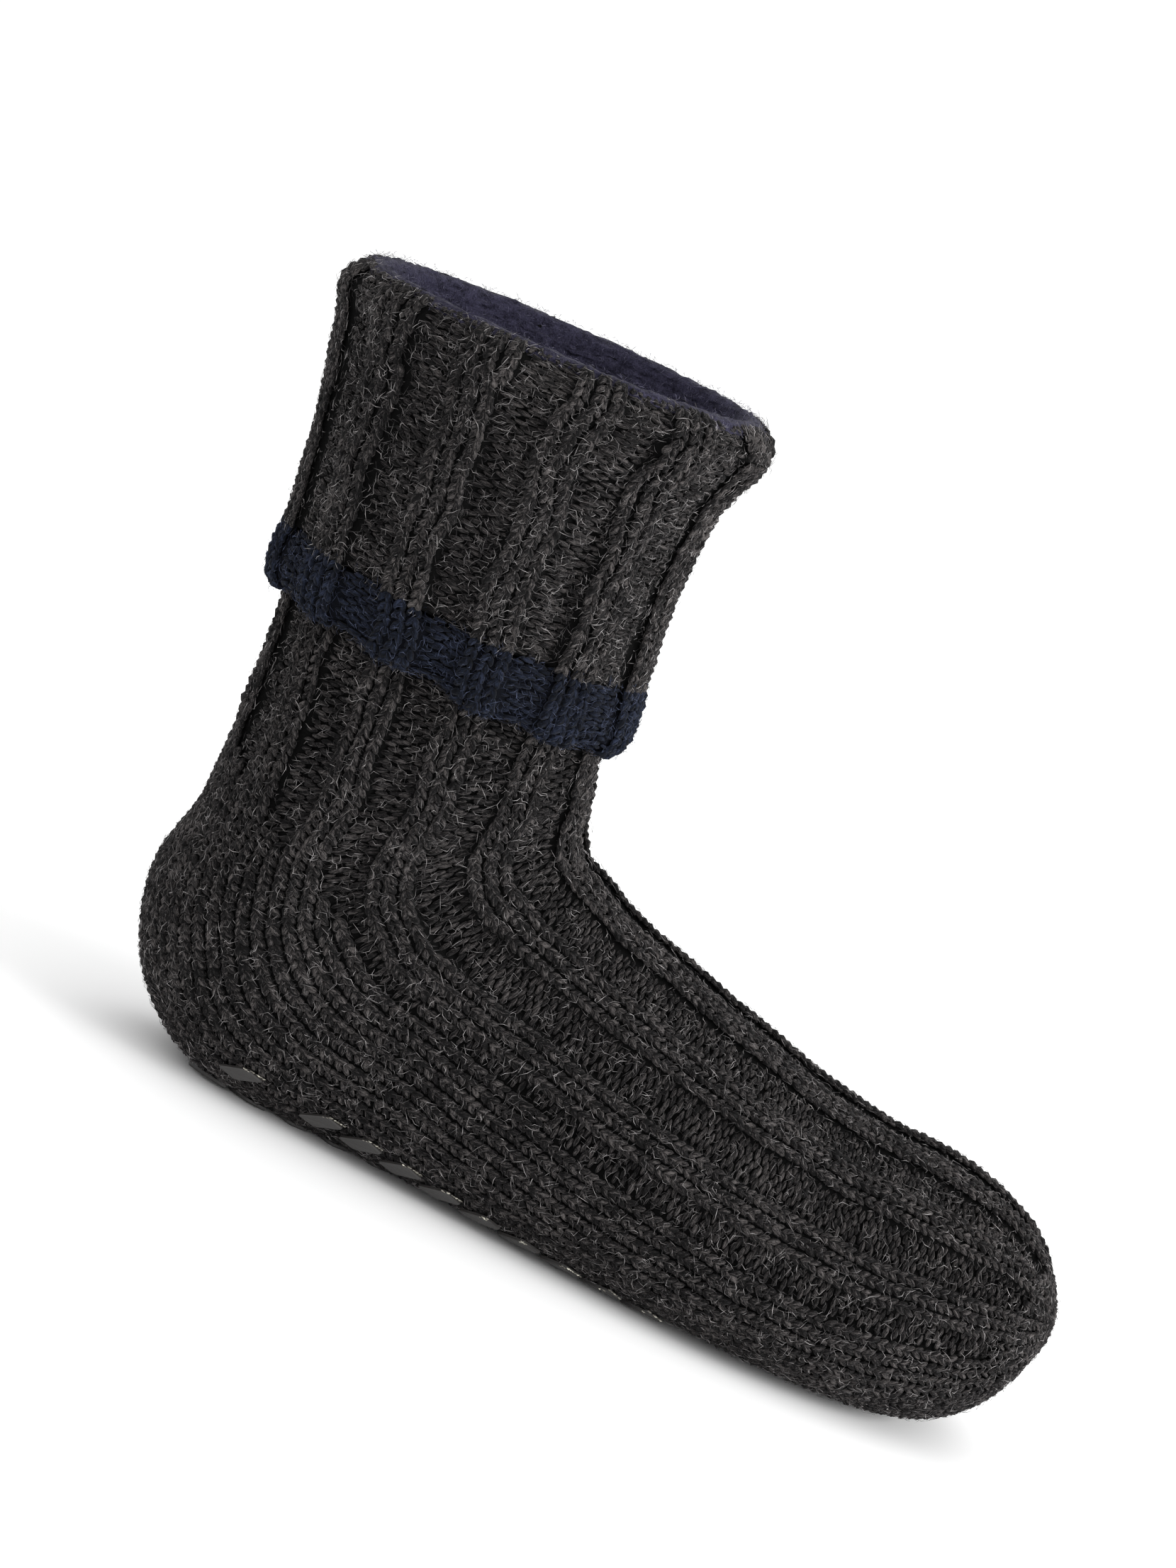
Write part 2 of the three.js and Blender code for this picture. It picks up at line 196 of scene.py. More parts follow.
def skinRings(sList, count=columns):
    # rows of points on the smooth outside, count to a ring, from the top line round by +Y
    gripLow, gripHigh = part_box("grip_centre_01")
    shift = (gripLow.x + gripHigh.x) * toMillimetres / 2 - sockForm["firstGrip"]
    at = {name: readAt(name, sList) for name in stations}
    turn = np.linspace(0, np.pi, 181)
    upper = turn < np.pi / 2
    q = np.arange(count) * 2 / count
    rings = np.zeros((len(sList), count, 3))
    for i, s in enumerate(sList):
        widest = at["widest"][i]
        power = np.where(upper, 2 / at["crown"][i], 2 / at["floor"][i])
        rise = np.abs(np.cos(turn)) ** power
        share = np.where(upper, widest + rise * (1 - widest), widest * (1 - rise))
        x = mix(at["lowX"][i], at["topX"][i], share) + shift
        y = at["half"][i] * np.sin(turn).clip(0) ** power
        z = np.maximum(0, mix(at["lowZ"][i], at["topZ"][i], share)) + sockForm["soleLift"]
        half = np.stack([x, y, z], 1)
        reach = np.r_[0, np.cumsum(np.linalg.norm(np.diff(half, axis=0), axis=1))]
        turned = (q + drift(s, q)) % 2
        goal = np.where(turned > 1, 2 - turned, turned) * reach[-1]
        rings[i] = np.stack([np.interp(goal, reach, half[:, k]) for k in range(3)], 1)
        rings[i, :, 1] *= np.where(turned > 1, -1, 1)
    return rings


def gridNormals(points, rising=True):
    # outward, for rings that run from toe to rim, or the other way where rising is False
    along = np.gradient(points, axis=0) * (1 if rising else -1)
    round_ = np.roll(points, -1, 1) - np.roll(points, 1, 1)
    normal = np.cross(round_, along)
    length = np.linalg.norm(normal, axis=2, keepdims=True)
    return np.where(length > 1e-9, normal / np.maximum(length, 1e-9), (1.0, 0.0, 0.0))


def skinAt(sList, height, count=columns, folds=None):
    # rings at a height over the smooth outside, creases with them
    smooth = skinRings(sList, count)
    normals = gridNormals(smooth, sList[-1] > sList[0])
    lift = creaseDepth(smooth, creases + cuffCreases if folds == "cuff" else creases) + height
    # under the sole the cloth lies deeper, so that the printed grips stand proud of the stitches
    under = softStep(-normals[..., 2], 0.1, 0.6) * (1 - softStep(np.asarray(sList), 15.5, 17))[:, None]
    lift -= sockForm["soleSunk"] * under
    return smooth + normals * lift[..., None], normals


def ribWave(sList, count=columns):
    # 1 on the raised bands, -1 in the recessed ones, 0 in the plain knit
    q = np.arange(count) * 2 / count
    phase = (q * knit["wales"] / 2 + 0.5 - knit["ribStart"]) % knit["perRib"]
    band = np.clip(knit["ribSteep"] * np.sin(2 * np.pi * phase / knit["perRib"]), -1, 1)
    fromTop = np.minimum(q, 2 - q)
    ribbed = readAt("ribbed", sList)[:, None]
    s = np.asarray(sList)[:, None]
    # the bands are deeper in some places than in others
    depth = 0.86 + 0.14 * np.sin(2.3 * s + 4 * math.pi * q) * np.sin(1.1 * s + 3 * math.pi * q)
    return band * depth * (1 - softStep(fromTop, ribbed - 0.05, ribbed + 0.03))


def stationBelowRim(distance):
    s = np.linspace(rim, rim - 12, 1200)
    top = skinRings(s, 8)[:, 0]
    gone = np.r_[0, np.cumsum(np.linalg.norm(np.diff(top, axis=0), axis=1))]
    return float(np.interp(distance, gone, s))


cuffEdge = stationBelowRim(sockForm["cuffDepth"])
bandTop = stationBelowRim(sockForm["cuffDepth"] - sockForm["bandHeight"])
slotTop = stationBelowRim(sockForm["wall"])

# main creases: each runs through (station, share round) points, with its width and depth in mm
creases = [
    {"along": [(13.2, 0.16), (13.0, 0.0), (13.2, -0.16)], "width": 5.0, "depth": -1.8},
    {"along": [(14.6, 0.24), (14.9, 0.0), (14.6, -0.2)], "width": 4.5, "depth": -1.3},
    {"along": [(13.9, 0.2), (13.9, 0.0), (13.9, -0.2)], "width": 4.0, "depth": 0.9},
    {"along": [(13.4, -0.3), (14.3, -0.42), (15.2, -0.5)], "width": 6.0, "depth": -1.2},
    {"along": [(13.4, 0.3), (14.3, 0.4), (15.4, 0.47)], "width": 6.0, "depth": -1.1},
    {"along": [(16.4, -0.8), (16.9, -0.92), (16.5, -1.1)], "width": 8.0, "depth": -0.5},
    {"along": [(9.6, 0.2), (9.3, 0.0), (9.7, -0.25)], "width": 9.0, "depth": -0.7},
    {"along": [(7.3, 0.3), (7.0, 0.05), (7.4, -0.3)], "width": 8.0, "depth": -0.6},
]


# soft upright folds of the turned cuff, where the ribs crowd together or spread
cuffCreases = [
    {"along": [(24.6, -0.62), (22.8, -0.585), (20.6, -0.61)], "width": 3.0, "depth": -1.1},
    {"along": [(25.7, -0.385), (24.2, -0.36), (22.2, -0.4)], "width": 2.6, "depth": -1.0},
    {"along": [(25.2, -0.79), (23.4, -0.81), (21.4, -0.775)], "width": 2.8, "depth": -0.9},
    {"along": [(25.0, -0.5), (23.0, -0.475), (21.8, -0.49)], "width": 4.0, "depth": 0.8},
    {"along": [(24.4, -0.2), (22.6, -0.23)], "width": 3.4, "depth": -0.9},
    {"along": [(25.5, -0.3), (24.0, -0.275), (22.2, -0.31), (20.8, -0.29)], "width": 2.2, "depth": -1.2},
    {"along": [(25.6, -0.7), (23.8, -0.72), (22.0, -0.69)], "width": 2.4, "depth": -1.2},
    {"along": [(25.4, -0.12), (23.6, -0.1), (21.4, -0.13)], "width": 2.4, "depth": -1.1},
    {"along": [(24.9, -0.5), (23.4, -0.52), (20.9, -0.5)], "width": 2.2, "depth": -1.1},
    {"along": [(25.3, 0.3), (23.2, 0.33), (21.2, 0.3)], "width": 3.0, "depth": -1.0},
    {"along": [(25.0, 0.56), (22.8, 0.54)], "width": 3.2, "depth": -0.9},
    {"along": [(24.8, 0.78), (22.9, 0.8), (21.0, 0.77)], "width": 3.0, "depth": -1.0},
]


def creaseDepth(points, folds):
    # soft troughs and ridges: a smooth bell round each listed line
    total = np.zeros(points.shape[:2])
    for crease in folds:
        s = np.array([place[0] for place in crease["along"]])
        q = np.array([place[1] for place in crease["along"]]) % 2
        ends = skinRings(s)
        line = np.array([ends[i, int(round(q[i] * columns / 2)) % columns] for i in range(len(s))])
        nearest = np.full(points.shape[:2], 1e9)
        for a, b in zip(line[:-1], line[1:]):
            t = np.clip(((points - a) @ (b - a)) / ((b - a) @ (b - a)), 0, 1)
            foot = a + t[..., None] * (b - a)
            nearest = np.minimum(nearest, np.linalg.norm(points - foot, axis=2))
        total += crease["depth"] * np.exp(-((nearest / crease["width"]) ** 2))
    return total


# the rim's half round, in degrees from the cuff's face: where the knit dips and its ribs fade out
rimRoll = {
    "clothStart": 6,
    "clothEnd": 98,
    "clothRows": 24,
    "dipFrom": 70,
    "clothDip": 0.9,
    "fadeFrom": 20,
    "fadeTo": 90,
    "fade": 0.85,
}


class Cloth:
    # a grid of points on one face of the fabric, with what the stitches need to know of each place
    def __init__(self, points, normals, wave):
        self.points = points
        self.normals = normals
        self.wave = wave

    @staticmethod
    def skin(sList, height=0.0, folds=None):
        return Cloth(*skinAt(sList, height, folds=folds), ribWave(sList))

    @staticmethod
    def cuff():
        # up the turned cuff's outer face and over the rim to its crest, where it dips under the fleece
        face = Cloth.skin(np.linspace(bandTop - 0.02, rim, 150), sockForm["cuffOut"], "cuff")
        turns = np.linspace(rimRoll["clothStart"], rimRoll["clothEnd"], rimRoll["clothRows"])
        dips = rimRoll["clothDip"] * softStep(turns, rimRoll["dipFrom"], rimRoll["clothEnd"])
        fold = [rimFold(turn, -dip) for turn, dip in zip(turns, dips)]
        points = np.concatenate([face.points, np.array(fold)])
        wave = np.concatenate([face.wave, face.wave[-1:] * rimFade(turns)[:, None]])
        return Cloth(points, gridNormals(points), wave * knit["cuffRelief"])


def rimFade(degrees):
    # how much of the ribs is left on the way over the rim
    return 1 - rimRoll["fade"] * softStep(degrees, rimRoll["fadeFrom"], rimRoll["fadeTo"])


def rimFold(degrees, lift, count=columns):
    # a ring of the rim's half round, from the cuff's face at 0 over the crest to the leg's inside at 180
    size = np.reshape((sockForm["cuffOut"] + sockForm["wall"]) / 2 + lift, (-1, 1))
    centre = (sockForm["cuffOut"] - sockForm["wall"]) / 2
    turn, lean = math.radians(degrees), sockForm["shaftLean"]
    rings = skinRings([rim - 0.01, rim], count)
    out, up = gridNormals(rings)[1], np.array([-math.sin(lean), 0, math.cos(lean)])
    return rings[1] + out * (centre + size * math.cos(turn)) + up * size * math.sin(turn)


def deselectAll():
    if bpy.context.object and bpy.context.object.mode != "OBJECT":
        bpy.ops.object.mode_set(mode="OBJECT")
    bpy.ops.object.select_all(action="DESELECT")


def extrudeRings(name, rings, poles=None):
    # a circle, extruded ring after ring, each laid on its section; the ends close on poles or each other
    deselectAll()
    count = len(rings[0])
    bpy.ops.mesh.primitive_circle_add(vertices=count, radius=0.01)
    piece = bpy.context.object
    piece.name = name
    piece.data.name = name
    bpy.ops.object.mode_set(mode="EDIT")
    bm = bmesh.from_edit_mesh(piece.data)
    bm.verts.ensure_lookup_table()
    order = list(range(count))
    firstRing = list(order)

    def lay(indices, ring):
        for index, place in zip(indices, ring):
            bm.verts[index].co = Vector(place) * toMetres

    def pick(indices):
        bpy.ops.mesh.select_all(action="DESELECT")
        bpy.ops.mesh.select_mode(type="EDGE")
        chosen = set(indices)
        for edge in bm.edges:
            if edge.verts[0].index in chosen and edge.verts[1].index in chosen:
                edge.select = True
        bm.select_flush(True)

    def grow(indices):
        bpy.ops.mesh.extrude_edges_move()
        fresh = bmesh.from_edit_mesh(piece.data)
        fresh.verts.ensure_lookup_table()
        fresh.verts.index_update()
        grown = []
        for index in indices:
            vert = fresh.verts[index]
            ends = (edge.other_vert(vert) for edge in vert.link_edges)
            grown.append(next(end.index for end in ends if end.select))
        return fresh, grown

    lay(order, rings[0])
    pick(order)
    for ring in rings[1:]:
        bm, order = grow(order)
        lay(order, ring)
    if poles:
        for indices, pole in ((order, poles[1]), (firstRing, poles[0])):
            if indices is firstRing:
                pick(indices)
            bm, tip = grow(indices)
            for index in tip:
                bm.verts[index].co = Vector(pole) * toMetres
        bpy.ops.mesh.select_all(action="SELECT")
        bpy.ops.mesh.remove_doubles(threshold=1e-6)
    else:
        pick(firstRing + order)
        bpy.ops.mesh.bridge_edge_loops()
    bpy.ops.mesh.select_all(action="SELECT")
    bpy.ops.mesh.normals_make_consistent(inside=False)
    bpy.ops.object.mode_set(mode="OBJECT")
    bpy.ops.object.shade_smooth()
    return piece


grainForm = {"sides": 4, "rings": 4, "tucks": ((0.2, 0.16), (0.45, 0.14))}


def modelGrain():
    # one fat yarn stroke of a stitch, modelled once: a few-sided bead along X, its ends tucked down
    deselectAll()
    sides, rings = grainForm["sides"], grainForm["rings"]
    bpy.ops.mesh.primitive_uv_sphere_add(segments=sides, ring_count=rings, radius=0.5)
    bead = bpy.context.object
    bpy.ops.object.mode_set(mode="EDIT")
    bpy.ops.mesh.select_all(action="SELECT")
    bpy.ops.transform.rotate(value=math.pi / 2, orient_axis="Y", center_override=(0, 0, 0))
    bm = bmesh.from_edit_mesh(bead.data)
    for reach, drop in grainForm["tucks"]:
        bpy.ops.mesh.select_all(action="DESELECT")
        bpy.ops.mesh.select_mode(type="VERT")
        for vert in bm.verts:
            vert.select = abs(vert.co.x) > reach
        bm.select_flush(True)
        bpy.ops.transform.translate(value=(0, 0, -drop))
    bpy.ops.object.mode_set(mode="OBJECT")
    master = {
        "verts": np.array([v.co for v in bead.data.vertices]),
        "faces": [list(p.vertices) for p in bead.data.polygons],
    }
    bpy.data.objects.remove(bead, do_unlink=True)
    uv = []
    for face in master["faces"]:
        centre = master["verts"][face].mean(0)
        for index in face:
            x, y, z = master["verts"][index]
            angle = math.atan2(y, z + 0.1) / (2 * math.pi)
            if abs(angle) > 0.4 and angle * centre[1] < 0:
                angle = -angle
            uv.append((x + 0.5, angle))
    master["uv"] = np.array(uv)
    return master


def linkPiece(name, mesh, tone):
    # a new object for the mesh, with a tone at each vertex for its material
    toneLayer = mesh.attributes.new("tone", "FLOAT", "POINT")
    toneLayer.data.foreach_set("value", tone.astype(np.float32))
    mesh.update()
    piece = bpy.data.objects.new(name, mesh)
    bpy.context.scene.collection.objects.link(piece)
    return piece


def joinedCopies(name, master, places):
    # copies of one small mesh, each in its own frame, joined in one piece with a tone and a UV for each
    origin, ahead, up, size, tone = (places[key] for key in ("origin", "ahead", "up", "size", "tone"))
    ahead = ahead / np.linalg.norm(ahead, axis=1, keepdims=True)
    up = up - ahead * (up * ahead).sum(1, keepdims=True)
    up = up / np.linalg.norm(up, axis=1, keepdims=True)
    across = np.cross(up, ahead)
    verts = master["verts"]
    local = verts[None] * size[:, None, :]
    placed = (
        origin[:, None]
        + local[..., 0:1] * ahead[:, None]
        + local[..., 1:2] * across[:, None]
        + local[..., 2:3] * up[:, None]
    )
    copies, each = placed.shape[:2]
    loops = np.concatenate([np.array(face) for face in master["faces"]])
    totals = np.array([len(face) for face in master["faces"]])
    allLoops = (loops[None] + (np.arange(copies) * each)[:, None]).ravel()
    allTotals = np.tile(totals, copies)
    starts = np.r_[0, np.cumsum(allTotals)[:-1]]
    mesh = bpy.data.meshes.new(name)
    mesh.vertices.add(copies * each)
    mesh.vertices.foreach_set("co", (placed * toMetres).astype(np.float32).ravel())
    mesh.loops.add(len(allLoops))
    mesh.loops.foreach_set("vertex_index", allLoops.astype(np.int32))
    mesh.polygons.add(len(allTotals))
    mesh.polygons.foreach_set("loop_start", starts.astype(np.int32))
    mesh.polygons.foreach_set("loop_total", allTotals.astype(np.int32))
    mesh.update(calc_edges=True)
    mesh.polygons.foreach_set("use_smooth", np.ones(len(allTotals), bool))
    layer = mesh.uv_layers.new(name="yarn")
    shift = rng.random((copies, 1, 2)) * (17.0, 13.0)
    layer.data.foreach_set("uv", (master["uv"][None] + shift).astype(np.float32).ravel())
    return linkPiece(name, mesh, np.repeat(tone, each))


stroke = {
    "legTurn": math.radians(27),
    "legLong": 1.58,
    "legWide": 0.5,
    "legApart": 0.195,
    "legHigh": 1.95,
    "legRoll": 0.45,
    "barLong": 1.02,
    "barWide": 0.56,
    "barHigh": 1.35,
    "strayPlace": 0.08,
    "strayTurn": 0.06,
    "straySize": 0.07,
}


# the least pitch of the wales in mm at which every wale, every second and so on is worked
decreases = [(2.3, 1), (1.2, 2), (0.6, 4), (0.3, 8), (0.1, 18)]


def stitchPlaces(cloth, rows):
    # walks up each wale a course at a time, two strokes a stitch: a V on knit, staggered bars on purl
    course = knit["course"]
    found = {key: [] for key in ("origin", "ahead", "up", "size", "tone")}
    first, last = rows

    def add(origin, ahead, up, size):
        count = len(origin)
        found["origin"].append(origin + rng.normal(0, stroke["strayPlace"], (count, 3)))
        found["ahead"].append(ahead + rng.normal(0, stroke["strayTurn"], (count, 3)))
        found["up"].append(up)
        found["size"].append(size * rng.normal(1, stroke["straySize"], (count, 1)))
        found["tone"].append(rng.random(count))

    for wale in range(knit["wales"]):
        column = wale * knit["perWale"]
        line = cloth.points[first:last, column]
        reach = np.r_[0, np.cumsum(np.linalg.norm(np.diff(line, axis=0), axis=1))]
        count = max(int(reach[-1] / course), 1)
        row = np.interp((np.arange(count) + 0.5) * reach[-1] / count, reach, np.arange(len(line))) + first
        low = np.clip(np.floor(row).astype(int), 0, len(cloth.points) - 2)
        t = (row - low)[:, None]

        def read(grid, offset=0):
            c = (column + offset) % columns
            return mix(grid[low, c], grid[low + 1, c], t if grid.ndim == 3 else t[:, 0])

        normal = read(cloth.normals)
        step = read(cloth.points, 2) - read(cloth.points, -2)
        pitch = np.linalg.norm(step, axis=1, keepdims=True)
        aside = step / np.maximum(pitch, 1e-6)
        ahead = np.cross(aside, normal)
        wave = read(cloth.wave)
        # towards the tip wales are dropped, as decreases do, and the rest grow wider
        joined = np.select([pitch > least for least, _ in decreases], [every for _, every in decreases], 0)
        keep = (joined[:, 0] > 0) & (wale % np.maximum(joined[:, 0], 1) == 0)
        wide = joined * pitch
        centre = read(cloth.points) + normal * (wave * knit["relief"])[:, None]
        isPurl = keep & (wave < knit["purlBelow"])
        isKnit = keep & ~isPurl
        for side in (-1, 1):
            turn = stroke["legTurn"]
            heading = -ahead * math.cos(turn) + aside * side * -math.sin(turn)
            origin = centre + aside * side * stroke["legApart"] * wide
            rolled = normal + aside * side * stroke["legRoll"]
            size = np.concatenate(
                [
                    np.full_like(wide, course * stroke["legLong"]),
                    wide * stroke["legWide"],
                    np.full_like(wide, stroke["legHigh"]),
                ],
                1,
            )
            add(origin[isKnit], heading[isKnit], rolled[isKnit], size[isKnit])
        for half in (0, 1):
            origin = centre + aside * half * 0.5 * wide - ahead * half * 0.5 * course
            size = np.concatenate(
                [
                    wide * stroke["barLong"],
                    np.full_like(wide, course * stroke["barWide"]),
                    np.full_like(wide, stroke["barHigh"]),
                ],
                1,
            )
            add(origin[isPurl], aside[isPurl], normal[isPurl], size[isPurl])
    return {key: np.concatenate(value) for key, value in found.items()}


# a loose fibre, in millimetres and in shares of its length and lift
fuzzForm = {
    "thick": 0.12,
    "rootLift": 0.2,
    "rootStray": 0.25,
    "lengths": (0.5, 1.5),
    "lifts": (0.1, 1),
    "bend": 0.22,
    "reach": (0.75, 1.0),
    "tipRise": (0, 1.6),
    "overFloor": 0.3,
}


def fuzzPlaces(cloth, rows, count, length, lift):
    # fine loose fibres that lie over the knit at random, near the surface
    first, last = rows
    points, normals = cloth.points[first:last], cloth.normals[first:last]
    along = np.linalg.norm(np.gradient(points, axis=0), axis=2)
    round_ = np.linalg.norm(np.roll(points, -1, 1) - points, axis=2)
    weight = (along * round_).ravel()
    chosen = rng.choice(weight.size, count, p=weight / weight.sum())
    row, column = np.unravel_index(chosen, points.shape[:2])
    normal = normals[row, column]
    wave = cloth.wave[first:last][row, column]
    stray = rng.normal(0, fuzzForm["rootStray"], (count, 3))
    root = points[row, column] + normal * (wave * knit["relief"] + fuzzForm["rootLift"])[:, None] + stray
    random = rng.normal(0, 1, (count, 3))
    heading = random - normal * (random * normal).sum(1, keepdims=True)
    heading /= np.linalg.norm(heading, axis=1, keepdims=True)
    aside = np.cross(normal, heading)
    long = (length * rng.uniform(*fuzzForm["lengths"], count))[:, None]
    rise = (lift * rng.uniform(*fuzzForm["lifts"], count))[:, None]
    bend = rng.normal(0, fuzzForm["bend"], (count, 1)) * long
    middle = root + heading * long * 0.5 + normal * rise + aside * bend
    reach = rng.uniform(*fuzzForm["reach"], (count, 1))
    tip = root + heading * long * reach + normal * rise * rng.uniform(*fuzzForm["tipRise"], (count, 1))
    for place in (root, middle, tip):
        place[:, 2] = np.maximum(place[:, 2], fuzzForm["overFloor"])
    return root, middle, tip, normal


def makeFuzz(name, strands):
    # each fibre is a thin three-sided spindle with one bend, joined with the others in one piece
    root, middle, tip, normal = strands
    count = len(root)
    ahead = tip - root
    ahead /= np.linalg.norm(ahead, axis=1, keepdims=True)
    aside = np.cross(normal, ahead)
    aside /= np.maximum(np.linalg.norm(aside, axis=1, keepdims=True), 1e-6)
    up = np.cross(ahead, aside)
    verts = np.zeros((count, 5, 3))
    verts[:, 0], verts[:, 4] = root, tip
    for corner in range(3):
        angle = 2 * math.pi * corner / 3
        out = aside * math.cos(angle) + up * math.sin(angle)
        verts[:, 1 + corner] = middle + out * fuzzForm["thick"] / 2
    faces = np.array([[0, 2, 1], [0, 3, 2], [0, 1, 3], [4, 1, 2], [4, 2, 3], [4, 3, 1]])
    every = (faces[None] + (np.arange(count) * 5)[:, None, None]).reshape(-1, 3)
    mesh = bpy.data.meshes.new(name)
    mesh.from_pydata((verts.reshape(-1, 3) * toMetres).tolist(), [], every.tolist())
    return linkPiece(name, mesh, np.repeat(rng.random(count), 5))


class Wire:
    # a node's output that can be used in sums
    def __init__(self, finish, socket):
        self.finish = finish
        self.socket = socket

    def sum(self, operation, other, flipped=False):
        pair = (other, self) if flipped else (self, other)
        return self.finish.node("ShaderNodeMath", {"operation": operation}, {0: pair[0], 1: pair[1]})

    def __add__(self, other):
        return self.sum("ADD", other)

    def __sub__(self, other):
        return self.sum("SUBTRACT", other)

    def __rsub__(self, other):
        return self.sum("SUBTRACT", other, True)

    def __mul__(self, other):
        return self.sum("MULTIPLY", other)

    def __pow__(self, other):
        return self.sum("POWER", other)

    __radd__ = __add__
    __rmul__ = __mul__


class Finish:
    # a material under its own name, with its nodes made one call at a time
    def __init__(self, name):
        self.material = bpy.data.materials.new(name)
        self.material.use_nodes = True
        self.tree = self.material.node_tree
        self.shader = self.tree.nodes["Principled BSDF"]

    def node(self, kind, settings=None, inputs=None, out=0):
        made = self.tree.nodes.new(kind)
        for key, value in (settings or {}).items():
            if key == "stops":
                while len(made.color_ramp.elements) < len(value):
                    made.color_ramp.elements.new(0.5)
                for element, (place, colour) in zip(made.color_ramp.elements, value):
                    element.position = place
                    element.color = (*colour, 1)
            else:
                setattr(made, key, value)
        for key, value in (inputs or {}).items():
            self.plug(made.inputs[key], value)
        return Wire(self, made.outputs[out])

    def plug(self, socket, value):
        if isinstance(value, Wire):
            self.tree.links.new(value.socket, socket)
        elif isinstance(value, tuple) and len(value) == 3 and socket.type == "RGBA":
            socket.default_value = (*value, 1)
        else:
            socket.default_value = value

    def set(self, **values):
        for key, value in values.items():
            self.plug(self.shader.inputs[key.replace("_", " ")], value)

    def blend(self, factor, a, b):
        return self.node("ShaderNodeMix", {"data_type": "RGBA"}, {0: factor, 6: a, 7: b}, 2)

    def place(self):
        # the object's own coordinates
        return self.node("ShaderNodeTexCoord", out=3)

    def tone(self):
        # the tone that each stroke, fibre or bead was given
        return self.node("ShaderNodeAttribute", {"attribute_name": "tone"}, out=2)

    def noise(self, place, scale, detail, roughness=0.5):
        inputs = {"Vector": place, "Scale": scale, "Detail": detail, "Roughness": roughness}
        return self.node("ShaderNodeTexNoise", {}, inputs)

    def ramp(self, level, stops):
        return self.node("ShaderNodeValToRGB", {"stops": stops}, {0: level})

    def bump(self, strength, distance, height):
        inputs = {"Strength": strength, "Distance": distance, "Height": height}
        return self.node("ShaderNodeBump", {}, inputs)


def fromHex(text):
    values = [int(text[i : i + 2], 16) / 255 for i in (1, 3, 5)]
    return tuple(v / 12.92 if v <= 0.04045 else ((v + 0.055) / 1.055) ** 2.4 for v in values)


def yarnFinish(name, dark, middle, light, sheen):
    # heather yarn: streaks of lighter fibre along each stroke, over slow patches of tone
    finish = Finish(name)
    uv = finish.node("ShaderNodeUVMap", {"uv_map": "yarn"})
    drawn = finish.node("ShaderNodeVectorMath", {"operation": "MULTIPLY"}, {0: uv, 1: (1.1, 7.0, 1.0)})
    fibre = finish.noise(drawn, 3.4, 5.0, 0.75)
    broad = finish.noise(drawn, 0.9, 1.0)
    patch = finish.noise(finish.place(), 60.0, 3.0)
    level = fibre * 1.2 + broad * 0.5 + finish.tone() * 0.1 + patch * 0.15 - 0.485
    colour = finish.ramp(level, [(0.32, dark), (0.5, middle), (0.66, light)])
    finish.set(Base_Color=colour, Roughness=0.93, Normal=finish.bump(0.55, 0.0004, fibre))
    finish.set(Sheen_Weight=sheen, Sheen_Roughness=0.45, Specular_IOR_Level=0.12)
    return finish.material


def underFinish(name, colour):
    # the shaded yarn behind the stitches
    finish = Finish(name)
    twist = finish.noise(finish.place(), 900.0, 3.0)
    tinted = finish.blend(twist, tuple(c * 0.5 for c in colour), colour)
    bump = finish.bump(0.6, 0.0006, twist)
    finish.set(Base_Color=tinted, Roughness=0.95, Normal=bump, Specular_IOR_Level=0.1)
    return finish.material


def fibreFinish(name, low, high):
    # loose fibres, and the grip beads whose light colour is a painted glint: most near the low colour, a
    # few near the high one
    finish = Finish(name)
    tinted = finish.blend(finish.tone() ** 2.5, low, high)
    finish.set(Base_Color=tinted, Roughness=0.8, Specular_IOR_Level=0.2)
    return finish.material


def fleeceFinish(name, dark, light):
    # dense short pile: fine speckle with softer clumps
    finish = Finish(name)
    place = finish.place()
    level = finish.noise(place, 420.0, 4.0, 0.7) * 0.6 + finish.noise(place, 2100.0, 2.0) * 0.5
    colour = finish.ramp(level, [(0.38, dark), (0.72, light)])
    finish.set(Base_Color=colour, Roughness=0.96, Normal=finish.bump(0.8, 0.0007, level))
    finish.set(Sheen_Weight=0.06, Sheen_Roughness=0.4, Specular_IOR_Level=0.08)
    return finish.material


def rubberFinish(name, colour):
    # printed rubber: satin, with a slightly pebbled skin
    finish = Finish(name)
    place = finish.place()
    pebble = finish.noise(place, 1400.0, 2.0)
    cloud = finish.noise(place, 120.0, 2.0)
    tinted = finish.blend(cloud, tuple(c * 0.75 for c in colour), tuple(c * 1.2 for c in colour))
    bump = finish.bump(0.35, 0.0002, pebble)
    finish.set(Base_Color=tinted, Roughness=pebble * 0.2 + 0.32, Normal=bump)
    return finish.material


charcoalYarn = yarnFinish("charcoalYarn", fromHex("#080808"), fromHex("#131213"), fromHex("#575352"), 0.02)
navyYarn = yarnFinish("navyYarn", fromHex("#05060a"), fromHex("#0b0f18"), fromHex("#282e3f"), 0.02)
charcoalUnder = underFinish("charcoalUnder", fromHex("#0b0b0b"))
navyUnder = underFinish("navyUnder", fromHex("#080a11"))
charcoalFibre = fibreFinish("charcoalFibre", fromHex("#302e2f"), fromHex("#b4b0b0"))
navyFibre = fibreFinish("navyFibre", fromHex("#161b2b"), fromHex("#575f78"))
fleeceFibre = fibreFinish("fleeceFibre", fromHex("#262534"), fromHex("#69677a"))
navyFleece = fleeceFinish("navyFleece", fromHex("#12111b"), fromHex("#3b394b"))
gripRubber = rubberFinish("gripRubber", fromHex("#2c2a29"))
# painted glint: the beads' light colours stand in for highlights on the grips' upper edges
paintedGripGlint = fibreFinish("paintedGripGlint", fromHex("#6e6b64"), fromHex("#e4e0d2"))


def dress(piece, material):
    piece.data.materials.clear()
    piece.data.materials.append(material)
    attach(piece, "root")
    return piece


